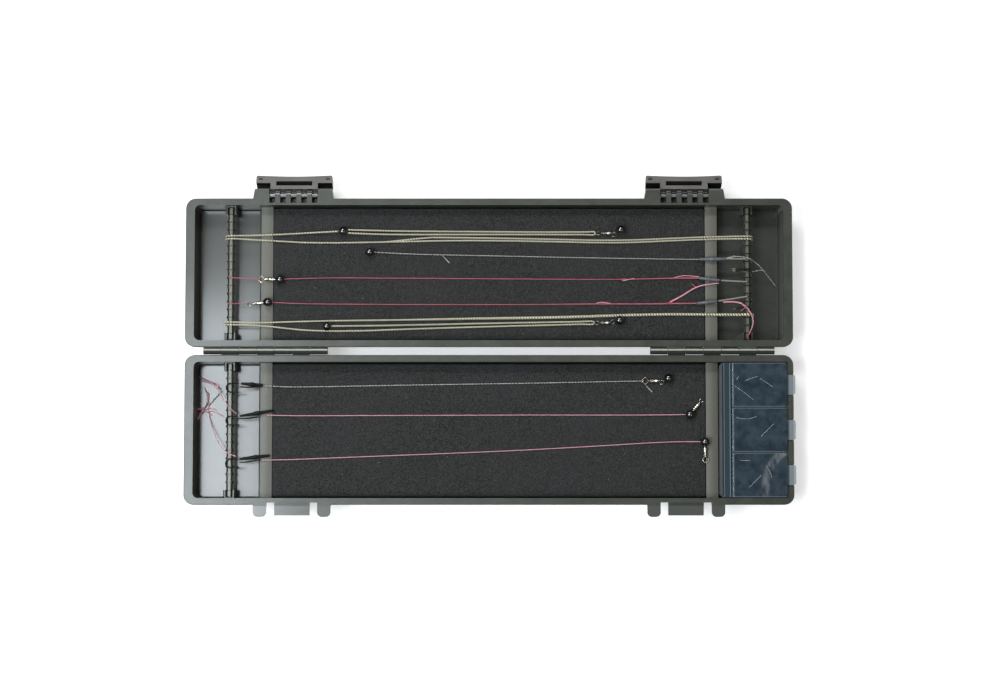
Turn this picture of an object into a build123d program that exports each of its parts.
# Fishing rig box, lying open and flat on its back with its rigs in place.
# Millimetres, +Z up. The origin is the centre of the base's bottom face.
# The base is the half with the catches and the compartments. The lid lies behind it, along +Y.
import math
import os

from build123d import *

# The two moulded halves, which share one outline
box_length = 364.0  # over the rim, along X
half_width = 89.4  # over the rim, along Y
half_height = 24.0  # bottom face to rim
corner_radius = 6.0
wall = 2.4
floor = 3.2
draft_angle = 1.5
end_band = 3.0  # how far the rim's band stands out of the end walls
side_band = 1.6  # and out of the long walls
band_height = 5.0
rim_bevel = 0.4
bottom_rounding = 2.0
inner_bevel = 0.6
panel_recess = 1.2  # the shallow field in each outer face
panel_margin = 9.0
panel_radius = 5.0
stiffener = 3.0  # the base's ribs across that field
stiffener_places_share = (-0.25, 0.0, 0.25)  # along the length, from the middle
cut_overrun = 1.0
pick_slack = 0.03  # edges are picked within this of their place

# The hinge line between the halves
hinge_reach = 2.45  # rim to hinge axis
rim_gap = 0.3  # between the rims when the box is shut
knuckle_radius = 2.15
knuckle_count = 7
knuckle_pitch = 10.64
knuckle_gap = 0.3
hinge_from_end = 48.5  # rim's end to the middle of each hinge
web_drop = 0.45  # the knuckle's web starts this far below the axis
hinge_pin_radius = 1.0
pin_clearance = 0.05
pin_inset = 0.4  # how far a pin's ends lie inside the outer knuckles

# The latches, which hang on the lid's front wall
latch_from_end = 64.5  # rim's end to the middle of each latch
latch_pin_drop = 3.7  # pin axis below the rim
latch_pin_reach = 2.3  # pin axis outside the rim
latch_pin_radius = 0.8
latch_pin_half = 17.6
finger_count = 5
finger_pitch = 6.35
finger_width = 2.9
finger_radius = 2.1
finger_arm = 3.1  # thickness of the arm that carries the latch
tooth_width = 2.85
tooth_radius = 3.0
tooth_slot_width = 3.45
tooth_slot_depth = 2.7  # into the rim
tooth_slot_drop = 6.3
tooth_floor_gap = 0.9  # the slots' floor ends this far inside the pin axis
tooth_step = 0.7  # the rim is this much lower at the teeth
shoulder_inner = 14.6
shoulder_outer = 23.2
shoulder_reach = 6.0
shoulder_height = 8.4
shoulder_flank = 2.0
seat_bite = 2.5  # how far a moulded lug runs into its wall
latch_half_width = 23.0
latch_body_half = 14.25
latch_start = 3.4  # from the pin axis
latch_end = 12.9
latch_hollow_end = 0.9  # how far the free edge curves in
latch_inside = 1.5  # the inner face lies this far inside the pin axis
latch_outside = 7.3
latch_skin = 1.8
latch_rounding = 1.2
latch_open_angle = 110.0
ear_recess_end = 7.8
hook_pocket_start = 6.0
hook_pocket_end = 8.7
hook_pocket_half = 10.9
hook_pocket_floor = 4.5
mark_length = 2.6  # the small moulded ovals on the wings
mark_width = 1.5
mark_depth = 0.4
mark_offset = 20.2
mark_place = 10.4

# The catches on the base's front wall
hook_half = 10.6
hook_drop = 2.35  # below the rim
hook_thickness = 2.0
hook_reach = 6.3
ear_inner = 15.2
ear_outer = 23.2
ear_reach = 7.2
ear_thickness = 3.4
ear_rounding = 2.8
catch_recess = 1.4  # the band is cut back between the ears

# What is inside both halves
end_bay = 52.0  # rim's end to the foam
foam_depth = 9.3  # foam face below the rim
foam_clearance = 0.3
foam_side_gap = 0.7  # to the long walls, at the rim's width
foam_top_bevel = 0.5
foam_bottom_bevel = 1.5
rib_width = 7.2
rib_depth = 9.0  # rib top below the rim
rib_crown = 0.45  # how much higher the rib's middle is than its sides
bar_from_end = 26.5  # rim's end to the bar
bar_depth = 8.6  # bar axis below the rim
bar_sides = 8  # with a flat on top
bar_radius = 2.05  # over the corners
bar_ring_radius = 2.6
bar_ring_pitch = 4.8
bar_ring_width = 1.3
bar_end_gap = 0.5  # from the long wall to the clip's groove
bar_end_play = 0.6  # and from there to the bar
bar_plain_end = 7.0
clip_slot_clearance = 0.15
clip_prong = 1.3
clip_length = 5.0
clip_above = 2.4  # prongs end this far above the bar's axis

# The compartment tray at the base's right end
tray_gap = 0.3
tray_wall = 1.4
tray_lip = 1.5  # the tray's left edge that shows beside the hinge strip
tray_ledge = 2.0
tray_top_gap = 0.2
tray_rounding = 2.0
tray_bottom_bevel = 1.6
tray_floor = 1.8
flap_drop = 0.4  # flap face below the rim
flap_thickness = 1.4
flap_count = 3
flap_gap = 0.8
strip_corner = 1.0
flap_end_gap = 1.0
strip_width = 4.9
strip_gap = 0.3
film_gap = 0.6  # between the strip and the flaps' rolled edges
tab_width = 12.0
tab_reach = 1.1  # beyond the rim
tab_notch_side = 0.6
tab_rounding = 1.5
rebate_depth = 2.3  # into the end wall, above the flaps' underside
rebate_clearance = 0.3

# The rigs
leader_radius = 0.5
line_radius = 0.3
bead_radius = 2.75
swivel_radius = 1.25
swivel_length = 4.6
swivel_neck_radius = 0.55
swivel_neck = 0.55
eye_wire = 0.35
eye_ring = 1.3
tube_radius = 1.0
hook_wire = 0.45
hook_gape = 6.2
hook_point = 7.0
hook_tip = 2.2
hook_tip_share = 0.12  # the wire's thickness at the very point
hook_bend_inset = 0.6  # the shank ends this far short of the bar's axis
small_hook_gape = 5.2
small_hook_point = 4.5
lie_gap = 0.15  # between a piece and what it lies on
drawn_foam_half = 130.0  # the foam that the rigs' routes are drawn for
drawn_bar_middle = 155.5
drawn_lid_y = 94.3
end_bead_headings = {"leader_1": 13.0, "leader_2": 9.0}
rig_4_bead_heading = 10.0
end_gap = 0.2  # between a cord's end and the piece that it meets
meet_gap = 0.35  # between two hard pieces on one cord
cord_sides = 6
wire_sides = 6
small_sides = 8  # of the swivels' barrels and eyes
fold_share = 0.45  # of the shorter run beside a bend

# Places that follow from the sizes
foam_half_length = box_length / 2 - end_bay
bar_middle = box_length / 2 - bar_from_end
latch_middle = box_length / 2 - latch_from_end
hinge_middle = box_length / 2 - hinge_from_end
rim_y = half_width / 2
hinge_y = rim_y + hinge_reach
hinge_z = half_height + rim_gap / 2
lid_y = 2 * hinge_y
inner_half_length = box_length / 2 - end_band - wall
inner_half_width = rim_y - side_band - wall
rib_middle = foam_half_length + rib_width / 2 + foam_clearance
latch_pin_z = half_height - latch_pin_drop
latch_pin_y = lid_y + rim_y + latch_pin_reach
bar_z = half_height - bar_depth
flap_top = half_height - flap_drop
flap_bottom = flap_top - flap_thickness
tray_left = rib_middle + rib_width / 2 + tray_gap
tray_right = inner_half_length - tray_gap
tray_half = inner_half_width - tray_gap
tray_corner = corner_radius - side_band - wall / 2 - tray_gap
strip_left = tray_left + tray_lip + strip_gap
flap_roll = flap_thickness / 2
flap_axis_x = strip_left + strip_width + film_gap + flap_roll
flap_axis_z = flap_bottom + flap_roll
rebate_x = inner_half_length + rebate_depth
flap_right = rebate_x - flap_end_gap
flap_pitch = 2 * tray_half / flap_count
flap_width = flap_pitch - flap_gap
foam_top = half_height - foam_depth
rib_top = half_height - rib_depth
hook_z = bar_z + bar_ring_radius + hook_wire + lie_gap
bead_z = foam_top + bead_radius + lie_gap
swivel_z = foam_top + swivel_radius + lie_gap
swivel_rib_z = rib_top + swivel_radius + lie_gap
swivel_half = swivel_length / 2 + swivel_neck
swivel_reach = swivel_half + 2 * eye_ring + eye_wire
bead_rib_z = rib_top + bead_radius + lie_gap
bead_heights = {
    "rig_1": bead_z, "rig_2": bead_z, "rig_3": bead_rib_z, "rig_5": bead_z, "rig_6": bead_z,
}
swivel_places = {
    "rig_2": (swivel_rib_z, 180.0), "rig_3": (swivel_rib_z, 186.0), "rig_5": (swivel_z, 50.0),
    "rig_6": (swivel_z, -88.0),
}
hook_sizes = {
    "lid": {
        "rig_1": (0.0, -hook_gape, hook_point), "rig_2": (-3.0, hook_gape, hook_point),
        "rig_3": (9.0, -hook_gape, hook_point),
    },
    "base": {
        rig: (180.0, small_hook_gape, small_hook_point) for rig in ("rig_4", "rig_5", "rig_6")
    },
}


def block(x0, x1, y0, y1, z0, z1):
    """A plain block between two corners."""
    middle = ((x0 + x1) / 2, (y0 + y1) / 2, (z0 + z1) / 2)
    return Pos(*middle) * Box(x1 - x0, y1 - y0, z1 - z0)


def rod_x(radius, x0, x1, y, z):
    """A round rod along X."""
    return Pos((x0 + x1) / 2, y, z) * Rot(0, 90, 0) * Cylinder(radius, x1 - x0)


def rod_y(radius, x, y0, y1, z):
    """A round rod along Y."""
    return Pos(x, (y0 + y1) / 2, z) * Rot(90, 0, 0) * Cylinder(radius, y1 - y0)


def bar_y(radius, x, y0, y1):
    """A straight length of rig bar along Y, many-sided with a flat on top."""
    section = Plane(origin=(x, y0, bar_z), x_dir=(1, 0, 0), z_dir=(0, 1, 0))
    section *= RegularPolygon(radius, bar_sides, rotation=180 / bar_sides)
    return extrude(section, amount=y1 - y0)


def drafted(length, width, radius, top, depth):
    """A rounded block that hangs from a rim at height top and narrows towards its bottom."""
    rim = Plane(origin=(0, 0, top), z_dir=(0, 0, -1))
    return extrude(rim * RectangleRounded(length, width, radius), amount=depth, taper=draft_angle)


def edges_at(part, height):
    """The edges that lie in one level plane."""
    return part.edges().filter_by_position(Axis.Z, height - pick_slack, height + pick_slack)


def rig_bar_clip(x, side):
    """Two prongs on one long wall that the end of a rig bar snaps into."""
    slot = bar_radius + clip_slot_clearance
    half = slot + clip_prong
    y_wall = side * (inner_half_width + wall / 2)
    y_free = side * (inner_half_width - clip_length)
    y0, y1 = sorted((y_wall, y_free))
    clip = block(x - half, x + half, y0, y1, floor / 2, bar_z + clip_above)
    clip = chamfer(clip.edges().filter_by(Axis.Y).group_by(Axis.Z)[-1], clip_prong / 2)
    y0, y1 = sorted((side * (inner_half_width - bar_end_gap), y_free - side * cut_overrun))
    groove = rod_y(slot, x, y0, y1, bar_z)
    groove += block(x - slot, x + slot, y0, y1, bar_z, half_height)
    return clip - groove


def foam_rib(x):
    """A crowned rib across the floor, which the foam ends against."""
    half = rib_width / 2
    side_top = rib_top - rib_crown
    profile = make_face([
        Line((x - half, floor / 2), (x - half, side_top)),
        ThreePointArc((x - half, side_top), (x, rib_top), (x + half, side_top)),
        Line((x + half, side_top), (x + half, floor / 2)),
        Line((x + half, floor / 2), (x - half, floor / 2)),
    ])
    return extrude(Plane.XZ * profile, amount=inner_half_width, both=True)


def half_shell(bar_places):
    """One moulded half: walls with draft, a rim band, foam ribs and rig bar clips."""
    body_length = box_length - 2 * end_band
    body_width = half_width - 2 * side_band
    body_radius = corner_radius - side_band
    shell = drafted(body_length, body_width, body_radius, half_height, half_height)
    shell = fillet(edges_at(shell, 0), bottom_rounding)
    band = RectangleRounded(box_length, half_width, corner_radius)
    band = Pos(0, 0, half_height - band_height) * extrude(band, amount=band_height)
    band = chamfer(edges_at(band, half_height - band_height), side_band / 2)
    band = chamfer(edges_at(band, half_height), rim_bevel)
    shell += band
    inner_radius = body_radius - wall / 2
    inner = drafted(
        2 * inner_half_length, 2 * inner_half_width, inner_radius, half_height, half_height - floor
    )
    inner = chamfer(edges_at(inner, floor), inner_bevel)
    shell -= inner
    field = RectangleRounded(
        body_length - 2 * panel_margin, body_width - 2 * panel_margin, panel_radius
    )
    shell -= extrude(field, amount=panel_recess)
    for side in (-1, 1):
        shell += foam_rib(side * rib_middle) & drafted(
            2 * inner_half_length + wall, 2 * inner_half_width + wall, inner_radius, half_height,
            half_height - floor / 2,
        )
    for x in bar_places:
        for side in (-1, 1):
            shell += rig_bar_clip(x, side)
    return shell


def knuckles(numbers, wall_side):
    """The hinge knuckles with these numbers, with webs to the wall on one side of the axis."""
    made = []
    length = knuckle_pitch - knuckle_gap
    y_wall = hinge_y + wall_side * (hinge_reach + side_band / 2)
    y0, y1 = sorted((hinge_y, y_wall))
    for middle in (-hinge_middle, hinge_middle):
        for number in numbers:
            x = middle + (number - (knuckle_count - 1) / 2) * knuckle_pitch
            x0, x1 = x - length / 2, x + length / 2
            knuckle = rod_x(knuckle_radius, x0, x1, hinge_y, hinge_z)
            knuckle += block(x0, x1, y0, y1, hinge_z - knuckle_radius, hinge_z - web_drop)
            bore = rod_x(
                hinge_pin_radius + pin_clearance, x0 - cut_overrun, x1 + cut_overrun, hinge_y, hinge_z
            )
            made.append(knuckle - bore)
    return made


def hinge_pin(side):
    """The wire pin of one hinge."""
    half = knuckle_count * knuckle_pitch / 2 - pin_inset
    x = side * hinge_middle
    return rod_x(hinge_pin_radius, x - half, x + half, hinge_y, hinge_z)


def finger_places():
    """Where the latch's fingers stand, from the latch's middle."""
    return [(i - (finger_count - 1) / 2) * finger_pitch for i in range(finger_count)]


def latch_seat(x):
    """What the lid's front wall has for one latch: lugs to add, and slots to cut."""
    rim = lid_y + rim_y
    z_low = half_height - shoulder_height
    adds = []
    for side in (-1, 1):
        plan = Polygon(
            (x + side * shoulder_inner, rim - seat_bite),
            (x + side * (shoulder_outer + shoulder_flank), rim - seat_bite),
            (x + side * (shoulder_outer + shoulder_flank / 2), rim),
            (x + side * shoulder_outer, rim + shoulder_reach),
            (x + side * shoulder_inner, rim + shoulder_reach),
            align=None,
        )
        lug = Pos(0, 0, z_low) * extrude(plan, amount=shoulder_height, dir=(0, 0, 1))
        lug = chamfer(lug.faces().sort_by(Axis.Y)[-1].edges().filter_by(Axis.X), shoulder_flank / 2)
        adds.append(lug)
    z_step = half_height - tooth_step
    cuts = [block(x - shoulder_inner, x + shoulder_inner, rim - tooth_slot_depth,
                  rim + shoulder_reach, z_step, half_height + cut_overrun)]
    half_slot = tooth_slot_width / 2
    for place in finger_places():
        cuts.append(block(x + place - half_slot, x + place + half_slot, rim - tooth_slot_depth,
                          rim + shoulder_reach, half_height - tooth_slot_drop,
                          half_height + cut_overrun))
    adds.append(block(x - shoulder_inner, x + shoulder_inner, rim - seat_bite,
                      latch_pin_y - tooth_floor_gap, z_low, half_height - tooth_slot_drop))
    for left, right in zip(finger_places(), finger_places()[1:]):
        middle = x + (left + right) / 2
        x0, x1 = middle - tooth_width / 2, middle + tooth_width / 2
        tooth = rod_x(tooth_radius, x0, x1, latch_pin_y, latch_pin_z)
        tooth += block(x0, x1, rim - seat_bite, latch_pin_y, latch_pin_z - tooth_radius, z_step)
        adds.append(tooth)
    bore = rod_x(latch_pin_radius + pin_clearance, x - latch_pin_half - pin_clearance,
                 x + latch_pin_half + pin_clearance, latch_pin_y, latch_pin_z)
    return adds, cuts, bore


def latch():
    """One latch, shut, about its pin: X across, Y outwards and Z towards its free edge."""
    depth = latch_inside + latch_outside
    half = latch_half_width
    plan = make_face([
        Line((half, latch_end), (half, latch_start)),
        Line((half, latch_start), (-half, latch_start)),
        Line((-half, latch_start), (-half, latch_end)),
        ThreePointArc((-half, latch_end), (0, latch_end - latch_hollow_end), (half, latch_end)),
    ])
    stand = Plane(origin=(0, latch_outside, 0), x_dir=(1, 0, 0), z_dir=(0, -1, 0))
    body = extrude(stand * plan, amount=depth)
    body = fillet(body.edges().filter_by(Axis.Y), latch_rounding)
    outer = body.edges().filter_by_position(
        Axis.Y, latch_outside - pick_slack, latch_outside + pick_slack)
    body = chamfer(outer, latch_rounding)
    skin_y = latch_outside - latch_skin
    for side in (-1, 1):
        x0, x1 = sorted((side * latch_body_half, side * (half + cut_overrun)))
        body -= block(x0, x1, -latch_inside - cut_overrun, skin_y, 0, ear_recess_end)
        oval = Pos(side * mark_offset, mark_place) * SlotOverall(mark_length, mark_width)
        face = Plane(origin=(0, -latch_inside, 0), x_dir=(1, 0, 0), z_dir=(0, -1, 0))
        body -= extrude(face * oval, amount=-mark_depth)
    body -= block(-hook_pocket_half, hook_pocket_half, -latch_inside - cut_overrun,
                  hook_pocket_floor, hook_pocket_start, hook_pocket_end)
    for place in finger_places():
        x0, x1 = place - finger_width / 2, place + finger_width / 2
        body += rod_x(finger_radius, x0, x1, 0, 0)
        body += block(x0, x1, -latch_inside, finger_arm - latch_inside, 0,
                      latch_start + finger_width / 2)
    bore = rod_x(latch_pin_radius + pin_clearance, -half, half, 0, 0)
    return body - bore


def placed_latch(side):
    """A latch swung open, on its pin in the lid."""
    return (
        Pos(side * latch_middle, latch_pin_y, latch_pin_z) * Rot(-latch_open_angle, 0, 0) * latch()
    )


def latch_pin(side):
    """The pin of one latch, held in the lid's shoulders."""
    x = side * latch_middle
    return rod_x(
        latch_pin_radius, x - latch_pin_half, x + latch_pin_half, latch_pin_y, latch_pin_z
    )


def catch(x):
    """What the base's front wall has for one latch: the hook plate, two ears and a recess."""
    rim = -rim_y
    adds = [block(x - hook_half, x + hook_half, rim - hook_reach, rim + seat_bite,
                  half_height - hook_drop - hook_thickness, half_height - hook_drop)]
    for side in (-1, 1):
        x0, x1 = sorted((x + side * ear_inner, x + side * ear_outer))
        ear = block(x0, x1, rim - ear_reach, rim + seat_bite,
                    half_height - ear_thickness, half_height)
        free = ear.edges().filter_by(Axis.Z).group_by(Axis.Y)[0]
        adds.append(fillet(free, ear_rounding))
    cut = block(x - ear_inner, x + ear_inner, rim - cut_overrun, rim + catch_recess,
                half_height - band_height - cut_overrun, half_height + cut_overrun)
    return adds, cut


def flap_middles():
    """Where the three flaps lie, from the front to the back."""
    return [(i - (flap_count - 1) / 2) * flap_pitch for i in range(flap_count)]


def base_shell():
    """The lower half, with the catches, its hinge knuckles and the seats for the flaps."""
    shell = half_shell([-bar_middle])
    for x in (-latch_middle, latch_middle):
        adds, cut = catch(x)
        shell -= cut
        for lug in adds:
            shell += lug
    for knuckle in knuckles(range(1, knuckle_count, 2), -1):
        shell += knuckle
    seat_z = flap_bottom - rebate_clearance
    shell -= block(inner_half_length - corner_radius, rebate_x, -inner_half_width, inner_half_width,
                   seat_z, half_height + cut_overrun)
    half_notch = tab_width / 2 + tab_notch_side
    for y in flap_middles():
        shell -= block(inner_half_length, box_length, y - half_notch, y + half_notch,
                       seat_z, half_height + cut_overrun)
    reach_x = box_length / 2 - end_band - panel_margin
    reach_y = rim_y - side_band - panel_margin
    for share in stiffener_places_share:
        x = share * box_length
        shell += block(x - stiffener / 2, x + stiffener / 2, -reach_y, reach_y, 0, floor / 2)
    shell += block(-reach_x, reach_x, -stiffener / 2, stiffener / 2, 0, floor / 2)
    return shell


def lid_shell():
    """The upper half, with the latch seats and its hinge knuckles."""
    shell = Pos(0, lid_y, 0) * half_shell([-bar_middle, bar_middle])
    for x in (-latch_middle, latch_middle):
        adds, cuts, bore = latch_seat(x)
        for cut in cuts:
            shell -= cut
        for lug in adds:
            shell += lug
        shell -= bore
    for knuckle in knuckles(range(0, knuckle_count, 2), 1):
        shell += knuckle
    return shell


def foam(y):
    """The foam pad that fills a half between its two ribs."""
    half_y = inner_half_width - foam_side_gap - foam_clearance
    thickness = half_height - foam_depth - floor
    pad = Pos(0, y, floor + thickness / 2) * Box(2 * foam_half_length, 2 * half_y, thickness)
    pad = chamfer(pad.edges().group_by(Axis.Z)[0], foam_bottom_bevel)
    return chamfer(pad.edges().group_by(Axis.Z)[-1], foam_top_bevel)


def rig_bar(x, y):
    """A rig bar: a many-sided rod with raised rings that keep the loops apart."""
    half = inner_half_width - bar_end_gap - bar_end_play
    bar = bar_y(bar_radius, x, y - half, y + half)
    ring_span = half - bar_plain_end
    count = int(2 * ring_span / bar_ring_pitch)
    ring_half = bar_ring_width / 2
    for i in range(count + 1):
        middle = y + (i - count / 2) * bar_ring_pitch
        bar += bar_y(bar_ring_radius, x, middle - ring_half, middle + ring_half)
    return bar


def compartment_tray():
    """The moulded tray with three compartments, which drops into the base's right end."""
    top = flap_bottom - tray_top_gap
    length = tray_right - tray_left
    middle = (tray_left + tray_right) / 2
    depth = top - floor
    tray = drafted(length, 2 * tray_half, tray_corner, top, depth)
    tray = Pos(middle, 0, 0) * chamfer(edges_at(tray, floor), tray_bottom_bevel)
    inside = tray_left + tray_lip + tray_ledge
    room = tray_right - tray_wall - inside
    span = (2 * tray_half - (flap_count + 1) * tray_wall) / flap_count
    for i in range(flap_count):
        y = (i - (flap_count - 1) / 2) * (span + tray_wall)
        pocket = drafted(room, span, tray_rounding, top, depth - tray_floor)
        pocket = chamfer(edges_at(pocket, floor + tray_floor), tray_rounding / 2)
        tray -= Pos(inside + room / 2, y, 0) * pocket
    tray += block(tray_left, tray_left + tray_lip, -tray_half + tray_rounding,
                  tray_half - tray_rounding, top - tray_wall, flap_top)
    return tray


def flap_hinge_strip():
    """The clear strip along the tray's left edge that the flaps hang on."""
    half = tray_half - tray_gap
    x1 = strip_left + strip_width
    strip = block(strip_left, x1, -half, half, flap_bottom, flap_top)
    corners = strip.edges().filter_by(Axis.Z).group_by(Axis.X)[0]
    return chamfer(corners, strip_corner)


def flap(y):
    """One clear flap, shut, with its lifting tab through the end wall."""
    half = flap_width / 2
    plate = block(flap_axis_x, flap_right, y - half, y + half, flap_bottom, flap_top)
    far = plate.edges().filter_by(Axis.Z).group_by(Axis.X)[-1]
    plate = fillet(far, tab_rounding)
    tab_end = box_length / 2 + tab_reach
    tab = block(flap_right - tab_rounding, tab_end, y - tab_width / 2, y + tab_width / 2,
                flap_bottom, flap_top)
    tab = fillet(tab.edges().filter_by(Axis.Z).group_by(Axis.X)[-1], tab_rounding)
    roll = rod_y(flap_roll, flap_axis_x, y - half, y + half, flap_axis_z)
    return plate + tab + roll


def cord(points, radius, name):
    """A cord along straight runs, each bend as large as its two runs allow."""
    places = [Vector(*p) for p in points]
    radii = []
    for before, here, after in zip(places, places[1:], places[2:]):
        run_in, run_out = here - before, after - here
        turn = math.radians(run_in.get_angle(run_out))
        shorter = min(run_in.length, run_out.length)
        radii.append(fold_share * shorter / math.tan(turn / 2))
    path = FilletPolyline(*places, radius=radii) if radii else Line(*places)
    start = Plane(origin=places[0], z_dir=places[1] - places[0])
    section = start * RegularPolygon(radius, cord_sides)
    made = sweep(section, path=path)
    volume_share = made.volume / (section.area * path.length)
    print(f"{name}: {path.length:.1f} mm, volume share {volume_share:.4f}, "
          f"radii {[round(r, 1) for r in radii]}")
    return made


def past(points, distance):
    """The place this far past a route's last point, straight on."""
    last, before = Vector(*points[-1]), Vector(*points[-2])
    return last + (last - before).normalized() * distance


def bead(places, height):
    """A round bead at the end of a route, resting at one height."""
    middle = past(places, bead_radius + end_gap)
    return Pos(middle.X, middle.Y, height) * Sphere(bead_radius)


def step(place, heading, reach):
    """The place that lies a reach away along a heading in degrees."""
    turn = math.radians(heading)
    return Vector(place.X + reach * math.cos(turn), place.Y + reach * math.sin(turn), place.Z)


def swivel(middle, height, heading, eyes):
    """A swivel along a heading in degrees, with a wire eye at each end that shows one."""
    across = Rot(0, 90, 0)
    barrel = across * extrude(RegularPolygon(swivel_radius, small_sides),
                              amount=swivel_length / 2, both=True)
    barrel += across * extrude(RegularPolygon(swivel_neck_radius, wire_sides),
                               amount=swivel_half, both=True)
    ring = RegularPolygon(eye_ring + eye_wire, small_sides)
    ring -= RegularPolygon(eye_ring - eye_wire, small_sides)
    eye = extrude(ring, amount=eye_wire, both=True)
    for side in eyes:
        barrel += Pos(side * (swivel_half + eye_ring), 0, 0) * eye
    return Pos(middle.X, middle.Y, height) * Rot(0, 0, heading) * barrel


def swivel_after_bead(places, height, heading):
    """A swivel whose barrel meets the bead at a route's end, and heads away from it."""
    middle = past(places, bead_radius + end_gap)
    middle = step(middle, heading, bead_radius + meet_gap + swivel_half)
    return swivel(middle, height, heading, (1,))


def swivel_and_bead(place, heading, bead_heading):
    """A swivel with one eye at a cord's end, and the loose bead beside its other eye."""
    middle = step(place, heading, end_gap + swivel_reach)
    ball = step(middle, bead_heading, swivel_reach + meet_gap + bead_radius)
    return (
        swivel(middle, swivel_z, heading, (-1, 1)),
        Pos(ball.X, ball.Y, bead_z) * Sphere(bead_radius),
    )


def shrink_tube(places):
    """The straight piece of tubing over a hook's eye."""
    first, last = Vector(*places[0]), Vector(*places[1])
    length = (last - first).length
    start = Plane(origin=first, z_dir=last - first)
    return start * Pos(0, 0, length / 2) * Cylinder(tube_radius, length)


def hook(tube, heading, gape, point):
    """A hook lying on a rig bar: its shank leaves a tube's end along a heading in degrees."""
    half = gape / 2
    start = step(Vector(*tube[1]), heading, tube_radius / 2 + meet_gap)
    shank = (bar_middle - hook_bend_inset - abs(start.X)) / abs(math.cos(math.radians(heading)))
    path = Line((0, 0, 0), (shank, 0, 0))
    path += ThreePointArc((shank, 0, 0), (shank + abs(half), half, 0), (shank, gape, 0))
    path += Line((shank, gape, 0), (shank - point, gape, 0))
    section = Plane(origin=(0, 0, 0), z_dir=(1, 0, 0)) * RegularPolygon(hook_wire, wire_sides)
    wire = sweep(section, path=path)
    base = Plane(origin=(shank - point, gape, 0), z_dir=(-1, 0, 0))
    tip = base.offset(hook_tip) * RegularPolygon(hook_wire * hook_tip_share, wire_sides)
    wire += loft([base * RegularPolygon(hook_wire, wire_sides), tip])
    return Pos(start.X, start.Y, hook_z) * Rot(0, 0, heading) * wire


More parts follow.
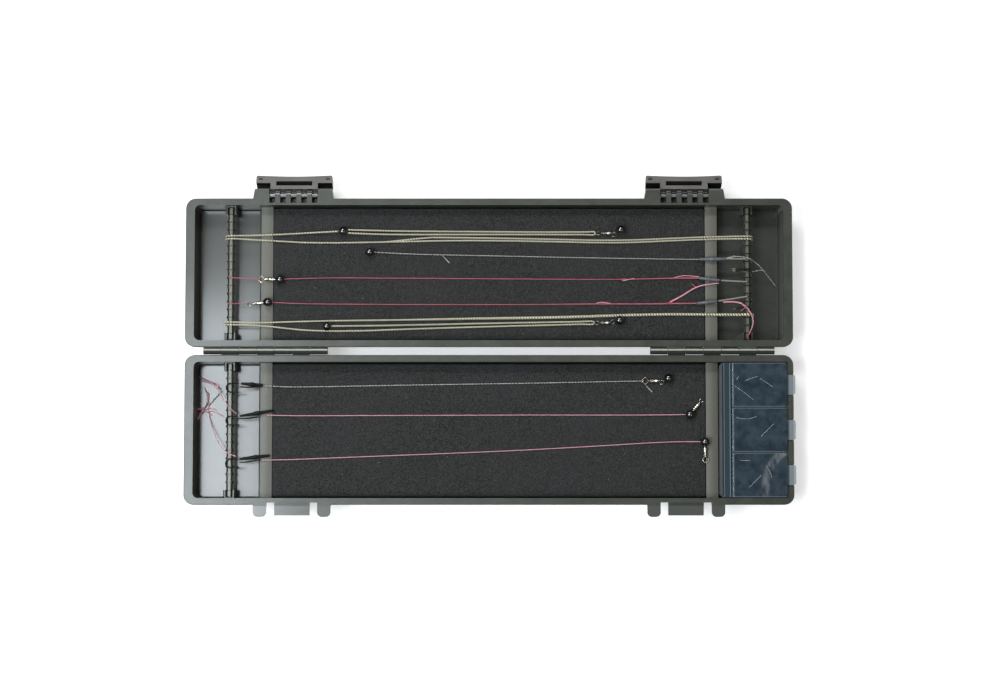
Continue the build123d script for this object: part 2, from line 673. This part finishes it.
# The routes of the rigs in the lid, from end to end, for drawn_foam_half and the other drawn places
lid_routes = {
    "leader_1_line": [
        (-158.8, 115.2, 13.2), (-158.8, 115.3, 18.9), (-151.3, 115.3, 18.3),
        (-143.0, 114.9, 16.6), (-130.0, 114.3, 15.9), (-106.0, 112.9, 15.5), (-62.0, 113.6, 15.4),
        (-18.0, 114.7, 15.5), (30.0, 114.1, 15.4), (76.0, 112.9, 15.5), (112.0, 114.5, 15.5),
        (131.0, 115.2, 15.9), (143.2, 115.4, 16.5), (151.4, 115.3, 18.2), (158.8, 115.2, 18.9),
        (158.8, 115.2, 13.2),
    ],
    "leader_1_second_strand": [
        (-34.0, 116.4, 15.4), (-12.0, 116.2, 15.5), (30.0, 115.5, 15.4), (76.0, 114.3, 15.5),
        (112.0, 115.9, 15.6), (131.0, 116.6, 15.9), (143.2, 116.8, 16.5), (151.4, 116.8, 18.2),
        (158.8, 116.7, 18.9), (158.8, 116.7, 13.2),
    ],
    "leader_1_bead_strand": [
        (-158.8, 117.0, 13.2), (-158.8, 117.0, 18.9), (-151.3, 117.1, 18.3),
        (-143.0, 117.5, 16.6), (-128.0, 118.0, 16.0), (-106.0, 119.2, 16.3), (-91.0, 119.9, 17.3),
    ],
    "leader_1_loop": [
        (-85.1, 120.8, 17.4), (-72.0, 120.6, 16.2), (-50.0, 120.2, 15.6), (-8.0, 119.9, 15.4),
        (34.0, 119.6, 15.5), (52.0, 119.7, 15.7), (58.0, 119.6, 15.9), (64.2, 120.0, 16.0),
        (64.2, 117.7, 16.0), (58.0, 118.1, 15.9), (52.0, 118.1, 15.7), (34.0, 118.2, 15.5),
        (-8.0, 118.2, 15.4), (-50.0, 118.1, 15.6), (-72.0, 118.3, 16.2), (-85.1, 118.9, 17.4),
    ],
    "leader_2_line": [
        (-158.8, 64.9, 13.2), (-158.8, 64.9, 18.9), (-151.3, 64.9, 18.3), (-143.0, 64.7, 16.6),
        (-130.0, 64.9, 15.9), (-100.0, 65.9, 15.5), (-56.0, 66.4, 15.4), (-8.0, 67.3, 15.5),
        (40.0, 67.9, 15.4), (84.0, 69.4, 15.5), (112.0, 69.9, 15.6), (131.0, 69.6, 15.9),
        (143.2, 69.5, 16.5), (151.4, 69.4, 18.2), (158.8, 69.4, 18.9), (158.8, 69.4, 13.2),
    ],
    "leader_2_loop": [
        (-158.8, 63.3, 13.2), (-158.8, 63.3, 18.9), (-151.3, 63.3, 18.3), (-143.0, 63.1, 16.6),
        (-131.0, 62.4, 15.9), (-110.0, 59.9, 15.5), (-82.0, 59.6, 15.4), (-46.0, 61.0, 15.5),
        (10.0, 62.7, 15.4), (48.0, 63.6, 15.6), (57.0, 63.9, 15.8), (63.2, 63.5, 16.0),
        (63.2, 65.8, 16.0), (57.0, 65.4, 15.8), (48.0, 65.2, 15.6), (10.0, 64.6, 15.4),
        (-46.0, 63.4, 15.5), (-76.0, 62.8, 16.0), (-94.6, 62.6, 17.4),
    ],
    "rig_1_line": [
        (126.0, 103.0, 16.3), (114.0, 103.2, 15.6), (94.0, 103.5, 15.2), (46.0, 104.3, 15.2),
        (2.0, 105.3, 15.2), (-32.0, 105.9, 15.3), (-54.0, 106.5, 16.1), (-69.0, 107.3, 17.3),
    ],
    "rig_1_hair": [
        (147.6, 104.5, 18.8), (155.0, 104.4, 19.9), (161.0, 100.6, 18.4), (166.2, 96.3, 12.6),
        (170.6, 91.7, 7.0), (174.2, 87.8, 4.1),
    ],
    "rig_2_line": [
        (126.0, 91.7, 16.3), (114.0, 91.8, 15.7), (98.0, 91.4, 15.2), (78.0, 90.9, 15.2),
        (36.0, 91.1, 15.2), (-16.0, 91.5, 15.2), (-66.0, 91.8, 15.2), (-98.0, 91.9, 15.4),
        (-113.0, 91.5, 16.3), (-123.0, 91.0, 17.3),
    ],
    "rig_2_hair": [
        (109.0, 77.3, 15.3), (116.0, 80.6, 15.3), (122.8, 85.4, 15.5), (129.8, 87.9, 16.1),
        (138.2, 88.4, 17.8),
    ],
    "rig_3_line": [
        (124.8, 76.4, 16.3), (113.0, 76.4, 15.7), (97.0, 76.1, 15.2), (69.0, 76.2, 15.2),
        (30.0, 75.8, 15.2), (-20.0, 75.7, 15.2), (-70.0, 75.9, 15.2), (-105.0, 76.1, 15.4),
        (-120.0, 76.4, 16.4), (-130.2, 76.9, 17.5),
    ],
    "rig_3_hair": [
        (140.9, 76.9, 18.4), (149.4, 77.6, 19.4), (155.2, 73.6, 20.2), (158.6, 67.6, 20.3),
        (158.3, 61.2, 19.4), (155.4, 56.4, 18.6),
    ],
    "rig_1_tube": [(126.3, 103.0, 16.4), (143.4, 103.1, 18.2)],
    "rig_2_tube": [(126.3, 91.7, 16.4), (138.8, 90.1, 18.2)],
    "rig_3_tube": [(125.1, 76.4, 16.4), (137.2, 77.5, 18.2)],
}

# The routes in the base
base_routes = {
    "rig_4_line": [
        (-135.6, 26.9, 16.4), (-126.0, 26.1, 15.8), (-110.0, 26.0, 15.3), (-80.0, 26.6, 15.2),
        (-30.0, 27.5, 15.2), (20.0, 28.2, 15.2), (60.0, 29.0, 15.2), (83.0, 29.5, 15.4),
        (93.0, 29.6, 15.9),
    ],
    "rig_5_line": [
        (-133.2, 9.1, 16.2), (-124.0, 8.8, 15.7), (-106.0, 8.7, 15.3), (-72.0, 8.9, 15.2),
        (-22.0, 9.0, 15.2), (28.0, 9.2, 15.2), (76.0, 9.1, 15.2), (103.0, 9.2, 15.7),
        (117.6, 9.4, 17.2),
    ],
    "rig_5_hair": [
        (-151.2, 9.8, 18.8), (-155.5, 13.0, 19.0), (-159.6, 18.9, 17.0), (-163.3, 24.8, 12.0),
        (-167.5, 28.4, 7.0), (-173.0, 31.0, 4.0),
    ],
    "rig_6_line": [
        (-136.4, -17.9, 16.3), (-126.0, -17.8, 15.8), (-106.0, -17.1, 15.3), (-70.0, -15.6, 15.2),
        (-22.0, -13.8, 15.2), (26.0, -11.7, 15.2), (74.0, -8.9, 15.2), (101.0, -7.3, 15.5),
        (116.0, -6.8, 16.3), (126.5, -6.9, 17.4),
    ],
    "rig_6_hair": [
        (-151.6, -15.6, 18.8), (-156.5, -14.2, 18.9), (-161.4, -9.4, 15.5), (-165.5, -1.6, 9.5),
        (-169.2, 7.4, 4.7), (-170.2, 15.4, 3.9), (-169.5, 22.6, 3.8),
    ],
    "rig_4_tube": [(-135.8, 26.9, 16.5), (-148.8, 28.0, 18.2)],
    "rig_5_tube": [(-129.2, 11.8, 16.4), (-149.6, 8.3, 18.2)],
    "rig_6_tube": [(-131.3, -15.2, 16.4), (-149.4, -17.3, 18.2)],
}


def fitted(route, drawn_y, y):
    """A route drawn for one box, stretched over the foam, its ends kept by the rig bars."""
    def along(x):
        reach = abs(x)
        if reach < drawn_foam_half:
            reach *= foam_half_length / drawn_foam_half
        elif reach < drawn_bar_middle:
            share = (reach - drawn_foam_half) / (drawn_bar_middle - drawn_foam_half)
            reach = foam_half_length + share * (bar_middle - foam_half_length)
        else:
            reach += bar_middle - drawn_bar_middle
        return math.copysign(reach, x)
    return [(along(px), py - drawn_y + y, pz) for px, py, pz in route]


def fold_middle(route):
    """The middle of a loop's far fold, which lies between its two furthest points along X."""
    furthest = sorted(route)[-2:]
    return (Vector(*furthest[0]) + Vector(*furthest[1])) / 2


def rig_pieces():
    """The cords, beads, swivels, tubes and hooks of every rig."""
    routes = {name: fitted(route, drawn_lid_y, lid_y) for name, route in lid_routes.items()}
    routes |= {name: fitted(route, 0, 0) for name, route in base_routes.items()}
    tubes = {name: route for name, route in routes.items() if name.endswith("tube")}
    made = {}
    for name, route in routes.items():
        if name not in tubes:
            radius = leader_radius if name.startswith("leader") else line_radius
            made[name] = cord(route, radius, name)
    made["leader_1_bead"] = bead(routes["leader_1_bead_strand"], bead_z)
    made["leader_2_bead"] = bead(routes["leader_2_loop"], bead_z)
    for leader, heading in end_bead_headings.items():
        place = step(fold_middle(routes[f"{leader}_loop"]), 0, leader_radius)
        pair = swivel_and_bead(place, 0, heading)
        made[f"{leader}_swivel"], made[f"{leader}_end_bead"] = pair
    for rig, height in bead_heights.items():
        made[f"{rig}_bead"] = bead(routes[f"{rig}_line"], height)
    for rig, (height, heading) in swivel_places.items():
        made[f"{rig}_swivel"] = swivel_after_bead(routes[f"{rig}_line"], height, heading)
    pair = swivel_and_bead(Vector(*routes["rig_4_line"][-1]), 0, rig_4_bead_heading)
    made["rig_4_swivel"], made["rig_4_bead"] = pair
    for half, sizes in hook_sizes.items():
        hooks, sleeves = [], []
        for rig, (heading, gape, point) in sizes.items():
            sleeves.append(shrink_tube(tubes[f"{rig}_tube"]))
            hooks.append(hook(tubes[f"{rig}_tube"], heading, gape, point))
        made[f"{half}_shrink_tubes"] = Compound(children=sleeves)
        made[f"{half}_hooks"] = Compound(children=hooks)
    return made


def write_parts(parts):
    """Each sub-part goes to its own file."""
    os.makedirs("parts", exist_ok=True)
    for name, shape in parts.items():
        shape.label = name
        export_step(shape, f"parts/{name}.step")


parts = {
    "base_shell": base_shell(),
    "lid_shell": lid_shell(),
    "base_foam": foam(0),
    "lid_foam": foam(lid_y),
    "base_rig_bar": rig_bar(-bar_middle, 0),
    "lid_rig_bar_left": rig_bar(-bar_middle, lid_y),
    "lid_rig_bar_right": rig_bar(bar_middle, lid_y),
    "hinge_pin_left": hinge_pin(-1),
    "hinge_pin_right": hinge_pin(1),
    "latch_left": placed_latch(-1),
    "latch_right": placed_latch(1),
    "latch_pin_left": latch_pin(-1),
    "latch_pin_right": latch_pin(1),
    "compartment_tray": compartment_tray(),
    "flap_hinge_strip": flap_hinge_strip(),
}
for place, y in zip(("front", "middle", "back"), flap_middles()):
    parts[f"flap_{place}"] = flap(y)
parts.update(rig_pieces())
write_parts(parts)
